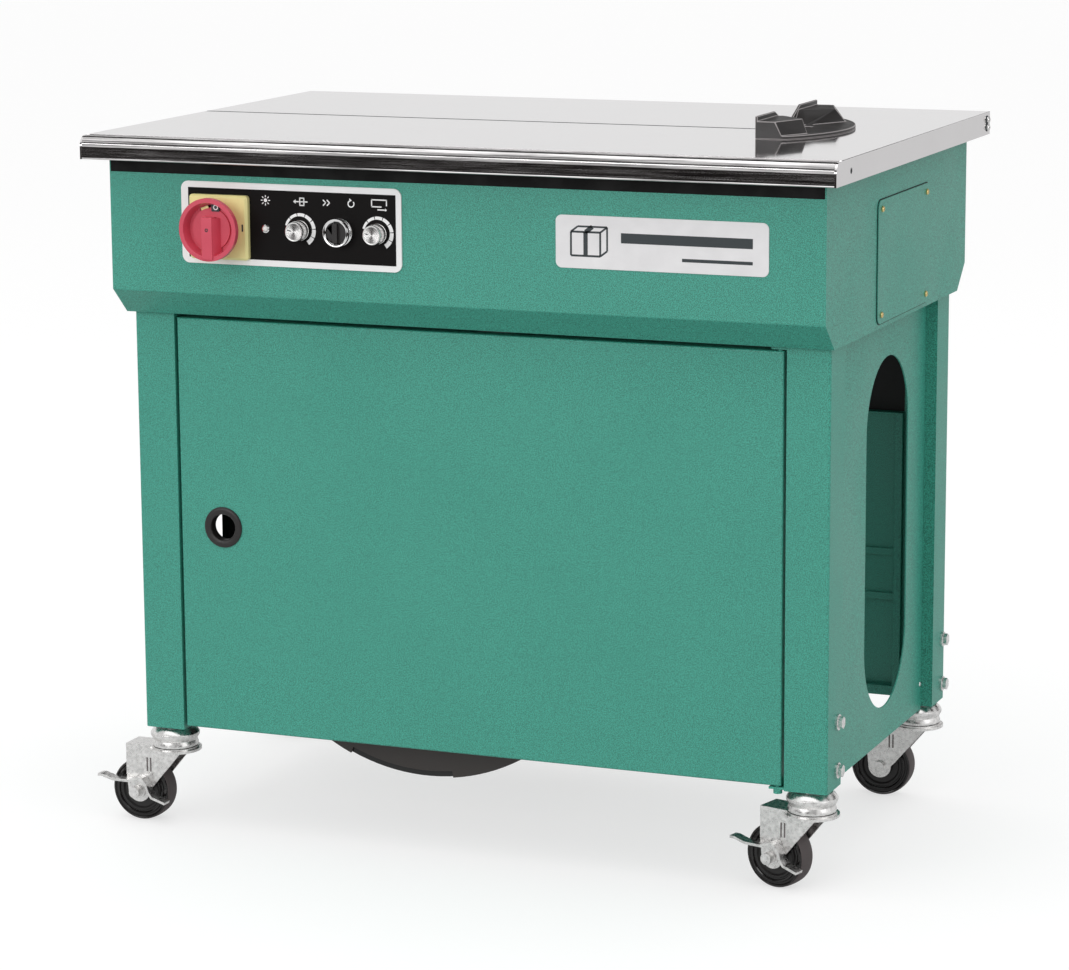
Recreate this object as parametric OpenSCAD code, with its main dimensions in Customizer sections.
// Semi-automatic strapping machine: a steel table on a sheet-metal cabinet with casters.
// +Z is up, -Y is the operator's side, the floor is z = 0.

/* [Table] */
// Length of the table
table_l = 895; // [870:5:950]
// Depth of the table
table_w = 605; // [580:5:660]
// Height of the working surface above the floor
table_h = 825; // [815:5:860]
// Height of the table's folded edge
table_edge = 27; // [20:1:30]
// Thickness of the table sheet
table_sheet = 2.5; // [1.5:0.5:3]
// Depth of the rolled front edge
nose_depth = 16; // [14:1:22]
// Width of the strap slit
slit_w = 2.4; // [1.5:0.1:4]
// Distance of the strap line behind the middle of the table
strap_y = 10; // [0:1:20]

/* [Upper casing] */
// Length of the casing
case_l = 855; // [845:5:865]
// Depth of the casing
case_w = 547; // [540:1:560]
// Height of the casing's underside
case_z = 616.5; // [610:0.5:620]
// Height of the slanted lower corner
bevel_h = 30; // [20:1:40]
// Depth of the slanted lower corner
bevel_d = 32; // [20:1:40]
// Sheet thickness of the casing and cabinet
sheet = 2; // [1:0.5:2.5]
// Height of the black seal under the table's front edge
seal_h = 16; // [10:1:24]

/* [Cabinet] */
// Width across the legs
legs_l = 842; // [830:1:845]
// Depth across the legs
legs_w = 465; // [455:1:475]
// Flange width of one leg
leg_w = 50; // [45:1:55]
// Thickness of a leg
leg_t = 3; // [2:0.5:4]
// Height of a leg's foot
leg_z = 120; // [118:1:125]
// Height of the side windows
window_h = 412; // [300:1:430]
// Width of the side windows
window_w = 165; // [120:1:180]
// Height of the lowest point of the side windows
window_z = 157; // [140:1:180]
// How far the side panels sit behind the legs' faces
panel_inset = 14; // [8:1:20]
// Depth of the door
door_d = 20; // [16:1:25]

/* [Reel] */
// Radius of the reel's discs
reel_r = 240; // [200:5:245]
// Height of the reel's axis
reel_z = 309; // [305:1:330]
// Distance of the reel's axis left of the middle
reel_x = 96; // [60:1:110]
// Width between the discs, for the strap coil
reel_gap = 190; // [150:5:200]
// Radius of the drum that the coil sits on
drum_r = 99; // [90:1:110]

/* [Casters] */
// Radius of a caster wheel
wheel_r = 37.5; // [34:0.5:40]
// Width of a caster wheel
wheel_w = 25; // [20:1:28]
// Distance of the wheel's axis from the swivel's axis
trail = 42; // [35:1:45]

/* [Hidden] */
$fn = 64;

// Colours
green = [0.25, 0.56, 0.48];
steel = [0.82, 0.81, 0.82];
zinc = [0.72, 0.72, 0.70];
black = [0.08, 0.08, 0.08];
brown = [0.32, 0.29, 0.28];
brass = [0.78, 0.65, 0.30];
white = [0.95, 0.95, 0.94];
yellow = [0.95, 0.78, 0.25];
red = [0.75, 0.12, 0.20];
iron = [0.35, 0.37, 0.38];

// Clearances: a shaft in its bore, and parts that only pass each other
running = 0.05;
gap = 0.3;

// Table
under_table = table_h - table_sheet;
table_skirt_z = table_h - table_edge;
slit_end_x = 300;
strap_hole = [26, 18];
nose_r = 12;
nose_front = -table_w / 2 - 2;
nose_back = nose_depth - table_w / 2;
nose_top = table_h - 0.4;
side_hole_r = 3.5;
side_hole_y = 50 - table_w / 2;
side_hole_z = table_h - 14;
screw_r = 4;
screw_h = 3.5;
table_screw_y = table_w / 2 - 13;
table_screw_z = table_skirt_z + table_edge / 2;
table_screw_pitch = 9;

// Strap guide
guide_x = 288;
guide_l = 75;
guide_w = 217;
guide_plate_h = 4;
guide_nose_r = 170;
guide_hole = [18, 16];
wing_h = 19.5;
fin_y = 46;
fin_h = 25;
fin_t = 3;

// Casing
case_front = -case_w / 2;
case_end = case_l / 2;
seal_z = table_skirt_z - seal_h;
flange_in = 68;
deck_t = 3;
deck_inset = 6;
deck_top = case_z + sheet + deck_t;
cover_y = 12;
cover_z = 691;
cover_w = 202;
cover_h = 138;
cover_t = 1.5;
cover_screw_dx = 88;
cover_screw_dz = 59;
gland_x = -300;
gland_z = 690;
gland_r = 8;
cord_r = 4.5;

// Control panel, seen from the front as x and z
panel_x = -199;
panel_z = 728.5;
panel_w = 272;
panel_h = 93;
panel_t = 2.3;
knob_z = 724.5;
switch_x = -285.5;
switch_w = 73;
switch_t = 8;
handle_r = 35.5;
handle_h = 28;
handle_rim_h = 26;
handle_floor_h = 14;
shaft_r = 3;
switch_shaft_r = 5;
tension_x = -186.5;
length_x = -91.4;
selector_x = -137.5;
lamp_x = -229;
knob_r = 11.5;
knob_h = 18;
bezel_r = 16;
bezel_h = 13;
selector_r = 12;
selector_h = 11;
name_x = 242;
name_z = 725.5;
name_w = 244;
name_h = 58;

// Cabinet
leg_x = legs_l / 2 - leg_w / 2;
leg_y = legs_w / 2 - leg_w / 2;
bolt_z = [140, 195];
bolt_y_front = 198;
bolt_y_rear = 222;
door_gap = 3.5;
door_l = legs_l - 2 * leg_w - 2 * door_gap;
door_z = 125;
door_top = 611;
door_front = -legs_w / 2;
pin_inset = 5;
pin_r = 2.5;
hinge_x = door_l / 2 - pin_inset;
hinge_y = door_front + pin_inset;
finger_x = -313;
finger_z = 368;
finger_r = 20.5;
panel_bottom = 116;
panel_out = legs_l / 2 - panel_inset;
window_y = 30;
rear_split_z = 470;
rear_z = 121;
rear_l = legs_l - 2 * leg_w;
rear_y = legs_w / 2 - 5;

// Reel
reel_front_y = -153;
disc_t = 3;
axle_r = 12.5;
sleeve_r = 30;
drum_t = 4;
drum_y = reel_front_y + 2 * disc_t;
brake_x = -345;
brake_z = 585;
brake_y = -150;
brake_w = 24;
brake_tip_z = 290;
lug_w = 24;
lug_y = 14;
chute_x = 80;
chute_w = 20;
chute_h = 90;

// Strapping head, below the strap guide
head_x = 300;
head_left = 150;
head_l = 240;
head_base_t = 8;
cheek_t = 8;
cheek_h = 164;
cheek_gap = 112;
cheek_front_y = strap_y - cheek_gap / 2 - cheek_t;
cheek_rear_y = strap_y + cheek_gap / 2;
tie_x = [235, 375];
tie_z = 645;
tie_r = 8;
cam_z = 668;
cam_r = 26;
cam_offset = 8;
cam_w = 12;
cam_pitch = 36;
coupling_r = 24;
cam_shaft_r = 10;
gearbox_y = 112;
blade_x = 330;
blade_z = 797;
feed_x = 178;
feed_z = 700;
feed_r = 24;
pinch_r = 20;
roller_shaft_r = 6;
roller_w = 24;
pinch_z = feed_z + feed_r + pinch_r + gap;

// Casters
race_r = 30;
race_top = leg_z;
race_z = 94.5;
fork_top = race_z - 0.5;
fork_t = 2.5;
fork_w = wheel_w + 8;
bolt_r = 4;
king_r = 6;
pedal_t = 2;
pedal_w = 13;
pedal_reach = 48;
caster_turn = -15;
corner = [leg_x, leg_y];

// The origin is on the floor, under the middle of everything that stands out
mid_x = (table_l / 2 + screw_h - (leg_x + trail + pedal_reach)) / 2;
mid_y = (table_w / 2 - (case_w / 2 + panel_t + switch_t + gap + handle_h)) / 2;

module place() {
    translate([-mid_x, -mid_y, 0]) children();
}

// Local x, y and z become X, Z and outwards (-Y) on the casing's front
module on_front(x, z) {
    translate([x, case_front, z]) rotate([90, 0, 0]) children();
}

// Local x, y and z become Y, Z and outwards (+X)
module on_right(x, y, z) {
    translate([x, y, z]) rotate([90, 0, 90]) children();
}

// A shape extruded along Y, centred, drawn in X and Z
module along_y(length) {
    rotate([90, 0, 0]) linear_extrude(length, center = true) children();
}

// A round bar along Y, from y0 to y1
module bar_y(x, y0, y1, z, r) {
    translate([x, y1, z]) rotate([90, 0, 0]) cylinder(h = y1 - y0, r = r);
}

module rounded(w, h, r) {
    square([w - 2 * r, h], center = true);
    square([w, h - 2 * r], center = true);
    for (sx = [-1, 1], sy = [-1, 1]) translate([sx * (w / 2 - r), sy * (h / 2 - r)]) circle(r);
}

// A bent sheet: an open line of points given a thickness to its left, with sharp corners
function unit(v) = v / norm(v);
function left_of(a, b) = let (d = unit(b - a)) [-d[1], d[0]];
function corner_shift(a, b) = (a + b) / (1 + a * b);
function shift_at(p, i) =
    i == 0 ? left_of(p[0], p[1]) :
    i == len(p) - 1 ? left_of(p[i - 1], p[i]) :
    corner_shift(left_of(p[i - 1], p[i]), left_of(p[i], p[i + 1]));
function shifted(p, t) = [for (i = [0 : len(p) - 1]) p[i] + t * shift_at(p, i)];
function reversed(p) = [for (i = [len(p) - 1 : -1 : 0]) p[i]];

module bent_sheet(p, t) {
    polygon(concat(p, reversed(shifted(p, t))));
}

// A pan-head screw along +Z with a cross slot
module screw(head_r, head_h, shank_r, shank_l) {
    difference() {
        union() {
            cylinder(h = head_h * 0.6, r = head_r);
            translate([0, 0, head_h * 0.6]) cylinder(h = head_h * 0.4, r1 = head_r, r2 = head_r * 0.7);
        }
        for (a = [0, 90]) rotate(a) translate([0, 0, head_h]) {
            cube([head_r * 1.2, head_r * 0.25, head_h], center = true);
        }
    }
    translate([0, 0, -shank_l]) cylinder(h = shank_l, r = shank_r);
}

// Table

// The front edge's section in Y and Z: a flat face under a round top
nose_profile = concat(
    [[nose_back, table_skirt_z], [nose_front, table_skirt_z]],
    [for (a = [180 : -10 : 90]) [nose_front + nose_r * (1 + cos(a)), nose_top - nose_r * (1 - sin(a))]],
    [[nose_back, nose_top]]
);

// The folded sheet, with a cheek at each end of the front edge
module table_top() {
    color(steel) place() difference() {
        union() {
            translate([-table_l / 2, nose_back, table_skirt_z]) {
                cube([table_l, table_w - nose_depth, table_edge]);
            }
            for (x = [-table_l / 2, table_l / 2 - table_sheet]) {
                on_right(x, 0, 0) linear_extrude(table_sheet) polygon(nose_profile);
            }
        }
        translate([table_sheet - table_l / 2, -table_w / 2, table_skirt_z - 1]) {
            cube([table_l - 2 * table_sheet, table_w - table_sheet, table_edge + 1 - table_sheet]);
        }
        // The strap slit, open at the left edge
        translate([-table_l / 2 - 1, strap_y - slit_w / 2, table_skirt_z - 1]) {
            cube([table_l / 2 + 1 + slit_end_x, slit_w, table_edge + 2]);
        }
        // The strap's way up, under the guide
        translate([slit_end_x - 4, strap_y - strap_hole[1] / 2, table_skirt_z - 1]) {
            cube([strap_hole[0], strap_hole[1], table_edge + 2]);
        }
        for (s = [-1, 1], d = [-0.5, 0.5]) {
            on_right(s * table_l / 2, table_screw_y, table_screw_z + d * table_screw_pitch) {
                cylinder(h = 20, r = screw_r / 2, center = true);
            }
        }
        on_right(table_l / 2, side_hole_y, side_hole_z) cylinder(h = 20, r = side_hole_r, center = true);
    }
}

module table_front_edge() {
    color(steel) place() on_right(0, 0, 0) linear_extrude(table_l - 2 * table_sheet, center = true) {
        bent_sheet(reversed(nose_profile), table_sheet);
    }
}

module table_screws() {
    color(zinc) place() for (s = [-1, 1], d = [-0.5, 0.5]) {
        translate([s * table_l / 2, table_screw_y, table_screw_z + d * table_screw_pitch]) {
            rotate([0, s * 90, 0]) screw(screw_r, screw_h, screw_r / 2 - running, 6);
        }
    }
}

// Half of the guide: an upright fin and a flared block, beside the strap line
module guide_wing() {
    outer = guide_w / 2;
    skin = 0.5;
    hull() {
        linear_extrude(skin) polygon([[0, 18], [0, outer], [32, outer], [51, 74], [20, 16]]);
        translate([0, 0, wing_h - skin]) linear_extrude(skin) {
            polygon([[0, 38], [0, outer], [23, outer], [40, 62], [9, 36]]);
        }
    }
    on_right(0, 0, 0) linear_extrude(fin_t) {
        polygon([[4, 0], [outer, 0], [outer, fin_h], [fin_y, fin_h], [4, 6]]);
    }
}

module strap_guide() {
    color(black) place() translate([guide_x, strap_y, table_h]) {
        difference() {
            linear_extrude(guide_plate_h) intersection() {
                translate([guide_l - guide_nose_r, 0]) circle(guide_nose_r);
                translate([0, -guide_w / 2]) square([guide_l, guide_w]);
            }
            translate([-1, -slit_w / 2, -1]) cube([slit_end_x - guide_x + 5, slit_w, guide_plate_h + 2]);
            translate([slit_end_x - guide_x, -guide_hole[1] / 2, -1]) {
                cube([guide_hole[0], guide_hole[1], guide_plate_h + 2]);
            }
        }
        for (s = [0, 1]) mirror([0, s, 0]) guide_wing();
    }
}

// Upper casing

// One long wall with its slanted lower corner and bottom flange, as an outline in Y and Z
function wall_line(top) = [
    [case_front, top],
    [case_front, case_z + bevel_h],
    [case_front + bevel_d, case_z],
    [case_front + bevel_d + flange_in, case_z]
];

module front_shell() {
    color(green) place() difference() {
        on_right(0, 0, 0) linear_extrude(case_l - 2 * sheet, center = true) {
            bent_sheet(wall_line(seal_z), sheet);
        }
        // Holes behind the controls
        for (x = [tension_x, length_x, lamp_x]) on_front(x, knob_z) cylinder(h = 20, r = 5, center = true);
        on_front(selector_x, knob_z) cylinder(h = 20, r = 7, center = true);
        on_front(switch_x, knob_z) cylinder(h = 20, r = 8, center = true);
    }
}

module rear_shell() {
    color(green) place() difference() {
        mirror([0, 1, 0]) on_right(0, 0, 0) linear_extrude(case_l - 2 * sheet, center = true) {
            bent_sheet(wall_line(under_table), sheet);
        }
        translate([gland_x, case_w / 2, gland_z]) rotate([90, 0, 0]) {
            cylinder(h = 20, r = gland_r + 0.2, center = true);
        }
    }
}

module end_outline() {
    polygon([
        [case_front, under_table], [case_front, case_z + bevel_h], [case_front + bevel_d, case_z],
        [-case_front - bevel_d, case_z], [-case_front, case_z + bevel_h], [-case_front, under_table]
    ]);
}

module left_end_plate() {
    color(green) place() on_right(-case_end, 0, 0) linear_extrude(sheet) end_outline();
}

module cover_screw_places() {
    for (sy = [-1, 1], sz = [-1, 1]) {
        on_right(case_end, cover_y + sy * cover_screw_dx, cover_z + sz * cover_screw_dz) children();
    }
}

module right_end_plate() {
    color(green) place() difference() {
        on_right(case_end - sheet, 0, 0) linear_extrude(sheet) end_outline();
        on_right(case_end, cover_y, cover_z) {
            linear_extrude(10, center = true) rounded(cover_w - 50, cover_h - 50, 10);
        }
        cover_screw_places() cylinder(h = 10, r = 1.8, center = true);
    }
}

module side_cover() {
    color(green) place() difference() {
        on_right(case_end, cover_y, cover_z) linear_extrude(cover_t) rounded(cover_w, cover_h, 10);
        cover_screw_places() cylinder(h = 10, r = 1.8, center = true);
    }
}

module cover_screws() {
    color(brass) place() cover_screw_places() translate([0, 0, cover_t]) screw(3.5, 2.4, 1.7, 6);
}

// The floor of the casing: two plates with a gap between them, where the strap comes up.
// A lug below the left one carries the brake arm's pin.
module machine_deck() {
    front = case_front + bevel_d + deck_inset;
    left = sheet - case_end;
    right = chute_x + chute_w;
    color(iron) place() {
        translate([left, front, case_z + sheet]) cube([chute_x - left, -2 * front, deck_t]);
        translate([right, front, case_z + sheet]) cube([-left - right, -2 * front, deck_t]);
        translate([brake_x - lug_w / 2, brake_y + lug_y - deck_t / 2, brake_z - lug_w / 2]) {
            cube([lug_w, deck_t, case_z + sheet - brake_z + lug_w / 2]);
        }
        bar_y(brake_x, brake_y - lug_y, brake_y + lug_y, brake_z, roller_shaft_r);
        bar_y(brake_x, brake_y - lug_y - deck_t, brake_y - lug_y, brake_z, roller_shaft_r + 3);
    }
}

module seal_strip() {
    color(black) place() translate([sheet - case_end, case_front, seal_z]) {
        cube([case_l - 2 * sheet, sheet + 4, under_table - seal_z]);
    }
}

// Control panel

module control_plate() {
    color(white) place() difference() {
        on_front(panel_x, panel_z) linear_extrude(panel_t) rounded(panel_w, panel_h, 9);
        for (x = [tension_x, length_x]) {
            on_front(x, knob_z) cylinder(h = 20, r = shaft_r + running, center = true);
        }
        on_front(lamp_x, knob_z) cylinder(h = 20, r = shaft_r + gap, center = true);
        on_front(selector_x, knob_z) cylinder(h = 20, r = 5, center = true);
        on_front(switch_x, knob_z) cylinder(h = 20, r = 7, center = true);
    }
}

module switch_plate() {
    color(yellow) place() difference() {
        on_front(switch_x, knob_z) translate([0, 0, panel_t]) {
            linear_extrude(switch_t) rounded(switch_w, switch_w, 4);
        }
        on_front(switch_x, knob_z) cylinder(h = 40, r = switch_shaft_r + running, center = true);
    }
}

// A flared red cup with a rim, a raised disc in it, a bar to grip and two slots for a padlock
module switch_handle() {
    foot_r = 24;
    rim_t = 7;
    wall = 5;
    slot = [4, 10];
    slot_angle = 110;
    bar = [13, 47];
    bar_bottom = 2.5 - handle_r;
    color(red) place() on_front(switch_x, knob_z) translate([0, 0, panel_t + switch_t + gap]) {
        difference() {
            rotate_extrude() polygon([
                [0, 0], [foot_r, 0], [handle_r - 1, handle_rim_h - rim_t], [handle_r, handle_rim_h - rim_t],
                [handle_r, handle_rim_h], [handle_r - wall, handle_rim_h],
                [handle_r - wall - 3, handle_floor_h], [0, handle_floor_h]
            ]);
            for (a = [slot_angle, -slot_angle]) rotate(a) translate([handle_r - wall - 6, 0, 0]) {
                cube([slot[0], slot[1], 3 * handle_h], center = true);
            }
        }
        translate([0, 0, handle_floor_h]) cylinder(h = 2, r = handle_r - 12);
        translate([-bar[0] / 2, bar_bottom, handle_floor_h - 1]) cube([bar[0], bar[1], handle_h - handle_floor_h + 1]);
        translate([0, 0, -switch_t - panel_t]) cylinder(h = switch_t + panel_t, r = switch_shaft_r);
    }
}

module pilot_lamp() {
    color(zinc) place() on_front(lamp_x, knob_z) translate([0, 0, panel_t]) {
        cylinder(h = 2, r = 5);
        translate([0, 0, 2]) cylinder(h = 2, r1 = 4, r2 = 2.5);
        translate([0, 0, -10]) cylinder(h = 10, r = shaft_r);
    }
}

module control_knob(x) {
    color(steel) place() on_front(x, knob_z) translate([0, 0, panel_t + gap]) {
        difference() {
            union() {
                cylinder(h = 3, r = knob_r);
                translate([0, 0, 3]) cylinder(h = knob_h - 3, r1 = knob_r - 0.5, r2 = knob_r - 1.5);
            }
            translate([0, 0, knob_h - 1]) cylinder(h = 2, r = knob_r - 3);
            translate([-0.8, knob_r - 5, knob_h - 1]) cube([1.6, 8, 2]);
        }
        translate([0, 0, -12]) cylinder(h = 12, r = shaft_r);
    }
}

module tension_knob() control_knob(tension_x);

module length_knob() control_knob(length_x);

module selector_bezel() {
    color(steel) place() on_front(selector_x, knob_z) translate([0, 0, panel_t]) difference() {
        rotate_extrude() polygon([
            [0, 0], [bezel_r, 0], [bezel_r, 4], [bezel_r - 2, 5], [bezel_r - 2, 8],
            [bezel_r, 9], [bezel_r, bezel_h], [0, bezel_h]
        ]);
        translate([0, 0, -1]) cylinder(h = 20, r = selector_r + running);
    }
}

module selector_knob() {
    color(black) place() on_front(selector_x, knob_z) translate([0, 0, panel_t + gap]) {
        cylinder(h = selector_h, r = selector_r);
        translate([-3, 1 - selector_r, selector_h]) cube([6, 2 * selector_r - 2, 4]);
        translate([0, 0, -14]) cylinder(h = 14, r = 4);
    }
}

module name_plate() {
    color(white) place() on_front(name_x, name_z) linear_extrude(1.2) rounded(name_w, name_h, 7);
}

// Cabinet

// An angle post with a closed foot; sx and sy say which corner it stands at
module leg(sx, sy) {
    bolt_y = sy < 0 ? bolt_y_front : bolt_y_rear;
    color(green) place() mirror([sx < 0 ? 1 : 0, 0, 0]) mirror([0, sy < 0 ? 1 : 0, 0]) difference() {
        translate([leg_x + leg_w / 2, leg_y + leg_w / 2, leg_z]) {
            linear_extrude(case_z - leg_z) bent_sheet([
                [-leg_w, -12], [-leg_w, 0], [0, 0], [0, -leg_w], [-panel_inset - sheet, -leg_w]
            ], -leg_t);
            translate([-leg_w, -leg_w, 0]) cube([leg_w, leg_w, 4]);
        }
        for (z = bolt_z) on_right(legs_l / 2, bolt_y, z) cylinder(h = 20, r = 3.1, center = true);
    }
}

module front_left_leg() leg(-1, -1);

module front_right_leg() leg(1, -1);

module rear_left_leg() leg(-1, 1);

module rear_right_leg() leg(1, 1);

// A bolt along +Z with a hexagon head on a flange
module flange_bolt(shank_l) {
    flange_r = 9;
    flange_t = 2.5;
    hex_r = 7.2;
    hex_h = 5;
    shank_r = 3;
    cylinder(h = flange_t, r = flange_r);
    cylinder(h = flange_t + hex_h, r = hex_r, $fn = 6);
    translate([0, 0, -shank_l]) cylinder(h = shank_l, r = shank_r);
}

module leg_bolts() {
    color(zinc) place() for (s = [-1, 1], z = bolt_z, y = [-bolt_y_front, bolt_y_rear]) {
        translate([s * legs_l / 2, y, z]) rotate([0, s * 90, 0]) flange_bolt(9);
    }
}

module front_door() {
    color(green) place() difference() {
        translate([-door_l / 2, door_front, door_z]) cube([door_l, door_d, door_top - door_z]);
        translate([sheet - door_l / 2, door_front + sheet, door_z + sheet]) {
            cube([door_l - 2 * sheet, door_d, door_top - door_z - 2 * sheet]);
        }
        translate([finger_x, door_front, finger_z]) rotate([90, 0, 0]) {
            cylinder(h = 10, r = finger_r, center = true);
        }
        translate([hinge_x, hinge_y, 0]) cylinder(h = door_top + 10, r = pin_r + running);
    }
}

module door_grommet() {
    color(black) place() translate([finger_x, door_front, finger_z]) rotate([90, 0, 0]) difference() {
        union() {
            cylinder(h = 2.5, r = 24);
            translate([0, 0, -10]) cylinder(h = 10, r = finger_r - 0.1);
        }
        cylinder(h = 40, r = 15, center = true);
    }
}

// Brackets on the right front leg, below and above the door, each with its pin
module door_hinges() {
    edge = legs_l / 2 - leg_w;
    color(green) place() for (low = [true, false]) {
        translate([0, 0, low ? door_z - 4 : door_top + 1.5]) {
            translate([edge - 18, door_front + 1, 0]) cube([18, 30, 2.5]);
            translate([hinge_x, hinge_y, low ? 2.5 : -12]) cylinder(h = 12, r = pin_r);
        }
        // The lower pin's head
        translate([hinge_x, hinge_y, door_z - 9]) cylinder(h = 5, r = 5);
    }
}

module side_panel(s) {
    color(green) place() difference() {
        translate([s * (panel_out - sheet / 2), 0, panel_bottom]) {
            translate([-sheet / 2, leg_w - legs_w / 2, 0]) {
                cube([sheet, legs_w - 2 * leg_w, case_z - panel_bottom]);
            }
        }
        on_right(s * panel_out, s * window_y, window_z + window_h / 2) linear_extrude(20, center = true) {
            square([window_w, window_h - window_w], center = true);
            for (d = [-1, 1]) translate([0, d * (window_h - window_w) / 2]) circle(window_w / 2);
        }
    }
}

module left_side_panel() side_panel(-1);

module right_side_panel() side_panel(1);

// A pan with flanges towards the inside and two ribs
module rear_panel() {
    pan_d = 14;
    rib_h = 9;
    rib_d = 5;
    lip_h = 12;
    side_in = 10;
    color(green) place() {
        difference() {
            translate([-rear_l / 2, rear_y - pan_d, rear_z]) cube([rear_l, pan_d, rear_split_z - rear_z]);
            translate([side_in - rear_l / 2, rear_y - pan_d - sheet, rear_z + lip_h]) {
                cube([rear_l - 2 * side_in, pan_d, rear_split_z - rear_z - lip_h - sheet]);
            }
            translate([sheet - rear_l / 2, rear_y - pan_d + sheet, rear_z + sheet]) {
                cube([rear_l - 2 * sheet, pan_d - 2 * sheet, rear_split_z - rear_z - 2 * sheet]);
            }
        }
        for (z = [238, 293]) translate([side_in - rear_l / 2, rear_y - sheet - rib_d, z]) {
            cube([rear_l - 2 * side_in, rib_d, rib_h]);
        }
    }
}

module rear_upper_cover() {
    color(black) place() translate([-rear_l / 2, rear_y - sheet, rear_split_z]) {
        cube([rear_l, sheet, case_z - rear_split_z]);
    }
}

// Reel

// An upright from the deck with a cross foot at its top, and the reel's fixed axle
module reel_bracket() {
    post = [40, 20];
    foot = [140, 40, 4];
    collar = 8;
    cap = 6;
    post_y = drum_y + reel_gap + 3 * disc_t + 12;
    post_z = reel_z - 30;
    foot_z = case_z + sheet - foot[2];
    axle_end = reel_front_y - 16;
    color(iron) place() {
        translate([-reel_x - post[0] / 2, post_y, post_z]) cube([post[0], post[1], foot_z + 1 - post_z]);
        translate([-reel_x - foot[0] / 2, post_y + (post[1] - foot[1]) / 2, foot_z]) cube(foot);
        bar_y(-reel_x, axle_end, post_y, reel_z, axle_r);
        bar_y(-reel_x, post_y - collar, post_y, reel_z, axle_r + collar);
        bar_y(-reel_x, axle_end, axle_end + cap, reel_z, axle_r + cap);
    }
}

module reel_disc(y) {
    difference() {
        bar_y(-reel_x, y, y + disc_t, reel_z, reel_r);
        bar_y(-reel_x, y - 1, y + disc_t + 1, reel_z, sleeve_r + 0.5);
    }
}

// The front disc has a shallow cut along part of its rim
module reel_front_disc() {
    rim_cut = 8;
    cut_from = -113.6;
    cut_to = -81.6;
    color(brown) place() difference() {
        reel_disc(reel_front_y);
        translate([-reel_x, reel_front_y, reel_z]) along_y(4 * disc_t) difference() {
            polygon(concat([[0, 0]], [for (a = [cut_from : 4 : cut_to]) 1.1 * reel_r * [cos(a), sin(a)]]));
            circle(reel_r - rim_cut);
        }
    }
}

module reel_rear_disc() {
    color(brown) place() reel_disc(drum_y + reel_gap);
}

// The drum that carries the strap coil, with a black disc behind the front one
module reel_hub() {
    rear_y0 = drum_y + reel_gap;
    color(black) place() difference() {
        union() {
            difference() {
                union() {
                    bar_y(-reel_x, reel_front_y + disc_t, drum_y, reel_z, reel_r - 1);
                    bar_y(-reel_x, drum_y, rear_y0, reel_z, drum_r);
                }
                bar_y(-reel_x, drum_y, rear_y0 + 1, reel_z, drum_r - drum_t);
            }
            bar_y(-reel_x, reel_front_y - 8, rear_y0 + disc_t + 4, reel_z, sleeve_r);
        }
        bar_y(-reel_x, reel_front_y - 20, rear_y0 + 40, reel_z, axle_r + running);
    }
}

// A lever that presses its pad against the reel's rim
module brake_arm() {
    color(black) place() difference() {
        union() {
            bar_y(brake_x, brake_y - brake_w / 2, brake_y + brake_w / 2, brake_z, 12);
            translate([brake_x - 6, brake_y - brake_w / 2, brake_tip_z]) {
                cube([9, brake_w, brake_z - brake_tip_z]);
            }
        }
        bar_y(brake_x, brake_y - brake_w, brake_y + brake_w, brake_z, roller_shaft_r + running);
    }
}

// Strapping head and drives

module head_cheek(y) {
    difference() {
        translate([head_left, y, deck_top + head_base_t]) cube([head_l, cheek_t, cheek_h]);
        bar_y(head_x, y - 1, y + cheek_t + 1, cam_z, cam_shaft_r + running);
        for (z = [feed_z, pinch_z]) bar_y(feed_x, y - 1, y + cheek_t + 1, z, roller_shaft_r + running);
    }
}

// The base, two cheeks that carry the shafts, and two tie bars
module head_frame() {
    color(iron) place() {
        translate([head_left, cheek_front_y, deck_top]) {
            cube([head_l, cheek_gap + 2 * cheek_t, head_base_t]);
        }
        head_cheek(cheek_front_y);
        head_cheek(cheek_rear_y);
        for (x = tie_x) bar_y(x, cheek_front_y + cheek_t, cheek_rear_y, tie_z, tie_r);
        translate([blade_x + 10, cheek_front_y + cheek_t, blade_z - 30]) {
            cube([head_left + head_l - blade_x - 10, cheek_gap, 8]);
        }
    }
}

// The shaft with three cams set a third of a turn apart, and its coupling
module camshaft() {
    color(steel) place() {
        bar_y(head_x, cheek_front_y - 12, gearbox_y + 10, cam_z, cam_shaft_r);
        for (i = [0 : 2]) translate([head_x, strap_y + (i - 1) * cam_pitch, cam_z]) rotate([0, i * 120, 0]) {
            translate([0, 0, cam_offset]) along_y(cam_w) circle(cam_r);
        }
        bar_y(head_x, gearbox_y - 28, gearbox_y - 8, cam_z, coupling_r);
    }
}

// Three pressing jaws on one block, split by two slots
module press_block() {
    bottom = cam_z + cam_r + cam_offset + 1;
    block = [48, 104, 88];
    slot_t = 8;
    slot_h = 49;
    color(zinc) place() translate([head_x - block[0] / 2, strap_y - block[1] / 2, bottom]) difference() {
        cube(block);
        for (d = [-1, 1]) translate([-1, (block[1] + d * cam_pitch - slot_t) / 2, -1]) {
            cube([block[0] + 2, slot_t, slot_h + 1]);
        }
    }
}

// A thin hot blade on a slide block, which rests on the head's cross plate
module heater_blade() {
    blade = [70, 28, 1.2];
    slide = 20;
    slide_h = 22 - gap;
    color(brass) place() translate([blade_x, strap_y - blade[1] / 2, blade_z]) {
        cube(blade);
        translate([38, (blade[1] - slide) / 2, -slide_h]) cube([slide, slide, slide_h]);
    }
}

module feed_roller() {
    color(iron) place() {
        bar_y(feed_x, strap_y - roller_w / 2, strap_y + roller_w / 2, feed_z, feed_r);
        bar_y(feed_x, cheek_front_y - 6, cheek_rear_y + 30, feed_z, roller_shaft_r);
    }
}

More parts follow.
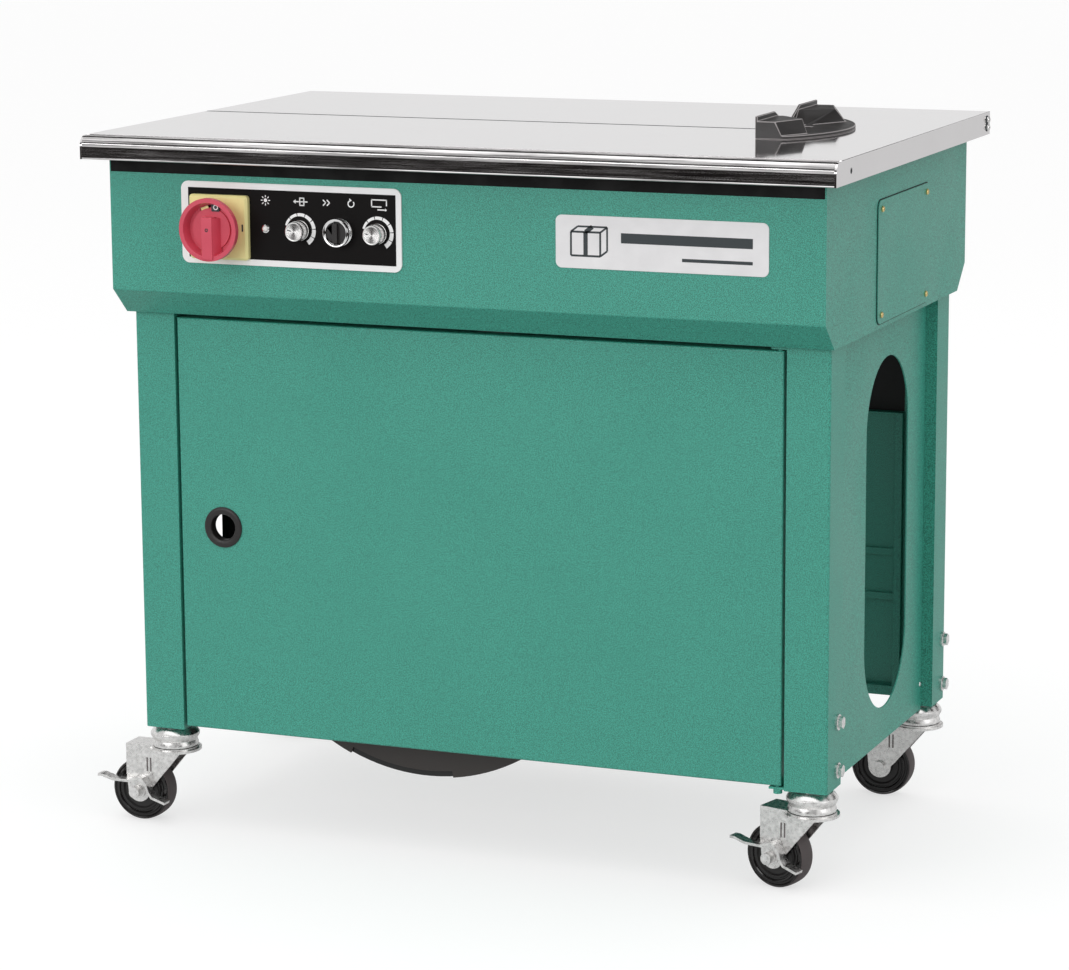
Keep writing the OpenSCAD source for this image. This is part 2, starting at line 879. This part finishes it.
module pinch_roller() {
    color(black) place() {
        bar_y(feed_x, strap_y - roller_w / 2, strap_y + roller_w / 2, pinch_z, pinch_r);
        bar_y(feed_x, cheek_front_y - 6, cheek_rear_y + 6, pinch_z, roller_shaft_r);
    }
}

// Motor with its gearbox, in line with the camshaft behind the head
module head_motor() {
    box = [110, 90, 100];
    motor_l = 150;
    motor_r = 44;
    foot = [100, 60, 8];
    color(iron) place() difference() {
        translate([head_x - box[0] / 2, gearbox_y, deck_top]) {
            cube(box);
            translate([0, box[1] / 2, box[2] / 2]) rotate([0, -90, 0]) cylinder(h = motor_l, r = motor_r);
            translate([20 - motor_l, (box[1] - foot[1]) / 2, 0]) cube(foot);
        }
        bar_y(head_x, gearbox_y - 1, gearbox_y + 12, cam_z, cam_shaft_r + running);
    }
}

// The duct that leads the strap from the deck's opening to the feed rollers
module strap_chute() {
    outer = chute_w + 2 * sheet;
    color(zinc) place() difference() {
        translate([chute_x - sheet, strap_y - outer / 2, deck_top]) cube([outer, outer, chute_h]);
        translate([chute_x, strap_y - chute_w / 2, deck_top - 1]) cube([chute_w, chute_w, chute_h + 2]);
    }
}

// A laminated core standing on the deck, with its winding through it
module transformer() {
    core = [80, 60, 70];
    winding = [50, 100, 46];
    color(iron) place() translate([-70, -150, deck_top]) {
        cube(core);
        translate((core - winding) / 2) cube(winding);
    }
}

// An open box behind the control panel, with the circuit board standing in it
module control_box() {
    box = [280, 70, 120];
    board = [220, 1.6, 90];
    foot = [20, 50, 10];
    color(zinc) place() translate([-340, case_front + 45, deck_top + foot[2]]) {
        difference() {
            cube(box);
            translate([sheet, sheet, sheet]) cube(box - [2 * sheet, 2 * sheet, 0]);
        }
        translate([(box[0] - board[0]) / 2, 20, sheet]) cube(board);
        for (x = [foot[0], box[0] - 2 * foot[0]]) translate([x, (box[1] - foot[1]) / 2, -foot[2]]) cube(foot);
    }
}

module cable_gland() {
    color(black) place() translate([gland_x, case_w / 2, gland_z]) rotate([-90, 0, 0]) difference() {
        union() {
            cylinder(h = 6, r = 13, $fn = 6);
            translate([0, 0, 6]) cylinder(h = 10, r1 = 10, r2 = gland_r);
            translate([0, 0, -12]) cylinder(h = 12, r = gland_r);
        }
        cylinder(h = 60, r = cord_r, center = true);
    }
}

// Casters

// Puts a caster's own frame, with the swivel at x = y = 0, under a leg.
// The front right caster stands turned a little.
module at_leg(sx, sy) {
    place() translate([sx * corner[0], sy * corner[1], 0]) {
        rotate(sx > 0 && sy < 0 ? caster_turn : 0) children();
    }
}

module caster_raceways() {
    cup = race_top - 3;
    color(zinc) for (sx = [-1, 1], sy = [-1, 1]) at_leg(sx, sy) {
        translate([0, 0, race_z]) rotate_extrude() {
            polygon([
                [0, 0], [race_r - 3, 0], [race_r - 2.5, 3], [race_r - 4, 7.5], [race_r - 1, 13],
                [race_r - 1, 16], [race_r - 3, 19], [race_r - 7, cup - race_z], [0, cup - race_z]
            ]);
        }
        translate([0, 0, cup]) cylinder(h = race_top - cup, r = 16);
        translate([0, 0, fork_top - fork_t - 4]) cylinder(h = race_z - fork_top + fork_t + 4, r = king_r);
        translate([0, 0, fork_top - fork_t - 4]) cylinder(h = 3.5, r = king_r + 4);
    }
}

// A stamped fork: a crown plate over a dished flange, two tapering cheeks and the axle bolt.
// The front ones leave room for a brake pedal under the bolt's long nut.
module fork(sx, sy) {
    crown_l = trail + 16;
    flange_t = 2.5;
    nut_r = 6.6;
    head_l = 4.5;
    near = sy < 0 ? pedal_t + 2 * gap : 0;
    nut_l = sy < 0 ? pedal_w - pedal_t - gap : head_l;
    color(zinc) at_leg(sx, sy) {
        difference() {
            translate([0, 0, fork_top - fork_t]) linear_extrude(fork_t) {
                circle(race_r - 2);
                translate([-crown_l, -fork_w / 2]) square([crown_l, fork_w]);
            }
            cylinder(h = race_top, r = king_r + running);
        }
        translate([0, 0, fork_top - fork_t - flange_t]) difference() {
            cylinder(h = flange_t + 0.5, r = race_r + 1);
            translate([0, 0, -1]) cylinder(h = flange_t + 1, r = king_r + 8);
            cylinder(h = race_top, r = king_r + running);
        }
        for (s = [-1, 1]) translate([0, s * (fork_w - fork_t) / 2, 0]) along_y(fork_t) {
            polygon([
                [-crown_l, fork_top - fork_t], [17, fork_top - fork_t], [19 - trail, wheel_r + 6],
                [13 - trail, wheel_r], [-trail - 14, wheel_r], [-crown_l, wheel_r + 20]
            ]);
            translate([-trail, wheel_r]) circle(14);
        }
        bar_y(-trail, -fork_w / 2 - near, fork_w / 2, wheel_r, bolt_r);
        bar_y(-trail, -fork_w / 2 - near - nut_l, -fork_w / 2 - near, wheel_r, nut_r);
        bar_y(-trail, fork_w / 2, fork_w / 2 + head_l, wheel_r, nut_r);
    }
}

module front_left_fork() fork(-1, -1);

module front_right_fork() fork(1, -1);

module rear_left_fork() fork(-1, 1);

module rear_right_fork() fork(1, 1);

// A rubber-tyred wheel: half of its section, turned round the axle
module wheel(sx, sy) {
    half = wheel_w / 2;
    hub_r = wheel_r - 11;
    hub_half = fork_w / 2 - fork_t - gap;
    color(black) at_leg(sx, sy) translate([-trail, 0, wheel_r]) rotate([90, 0, 0]) rotate_extrude() {
        polygon([
            [bolt_r + running, -hub_half], [11, -hub_half], [12, -half + 3], [hub_r - 2, -half + 3],
            [hub_r, -half + 1], [wheel_r - 3, -half], [wheel_r - 0.6, -half + 3], [wheel_r, 0],
            [wheel_r - 0.6, half - 3], [wheel_r - 3, half], [hub_r, half - 1],
            [hub_r - 2, half - 3], [12, half - 3], [11, hub_half], [bolt_r + running, hub_half]
        ]);
    }
}

module front_left_wheel() wheel(-1, -1);

module front_right_wheel() wheel(1, -1);

module rear_left_wheel() wheel(-1, 1);

module rear_right_wheel() wheel(1, 1);

// A brake pedal: a bent strip over the axle's nut, with an ear that turns on the bolt
module pedal(sx, sy) {
    inner = fork_w / 2 + gap;
    strip_t = 3;
    ear_r = 9;
    strip = [
        [-pedal_reach, 19.5], [-42, 19.5], [-28, 15.5], [-6, 15.5], [-1, 18.5], [5, 20],
        [11, 18.5], [17, 11], [20, 2], [24, -3], [41, -8.5]
    ];
    color(steel) at_leg(sx, sy) translate([-trail, 0, wheel_r]) {
        translate([0, -inner - pedal_w / 2, 0]) along_y(pedal_w) bent_sheet(strip, -strip_t);
        translate([0, -inner - pedal_t / 2, 0]) along_y(pedal_t) difference() {
            union() {
                circle(ear_r);
                polygon([[-ear_r, 0], [ear_r, 0], [14, 10], [5, 18], [-6, 14]]);
            }
            circle(bolt_r + running);
        }
    }
}

module front_left_pedal() pedal(-1, -1);

module front_right_pedal() pedal(1, -1);

table_top();
table_front_edge();
table_screws();
strap_guide();
front_shell();
rear_shell();
left_end_plate();
right_end_plate();
machine_deck();
seal_strip();
side_cover();
cover_screws();
control_plate();
switch_plate();
switch_handle();
pilot_lamp();
tension_knob();
length_knob();
selector_bezel();
selector_knob();
name_plate();
front_left_leg();
front_right_leg();
rear_left_leg();
rear_right_leg();
leg_bolts();
front_door();
door_grommet();
door_hinges();
left_side_panel();
right_side_panel();
rear_panel();
rear_upper_cover();
reel_bracket();
reel_front_disc();
reel_rear_disc();
reel_hub();
brake_arm();
head_frame();
camshaft();
head_motor();
feed_roller();
pinch_roller();
press_block();
heater_blade();
strap_chute();
transformer();
control_box();
cable_gland();
caster_raceways();
front_left_fork();
front_right_fork();
rear_left_fork();
rear_right_fork();
front_left_wheel();
front_right_wheel();
rear_left_wheel();
rear_right_wheel();
front_left_pedal();
front_right_pedal();
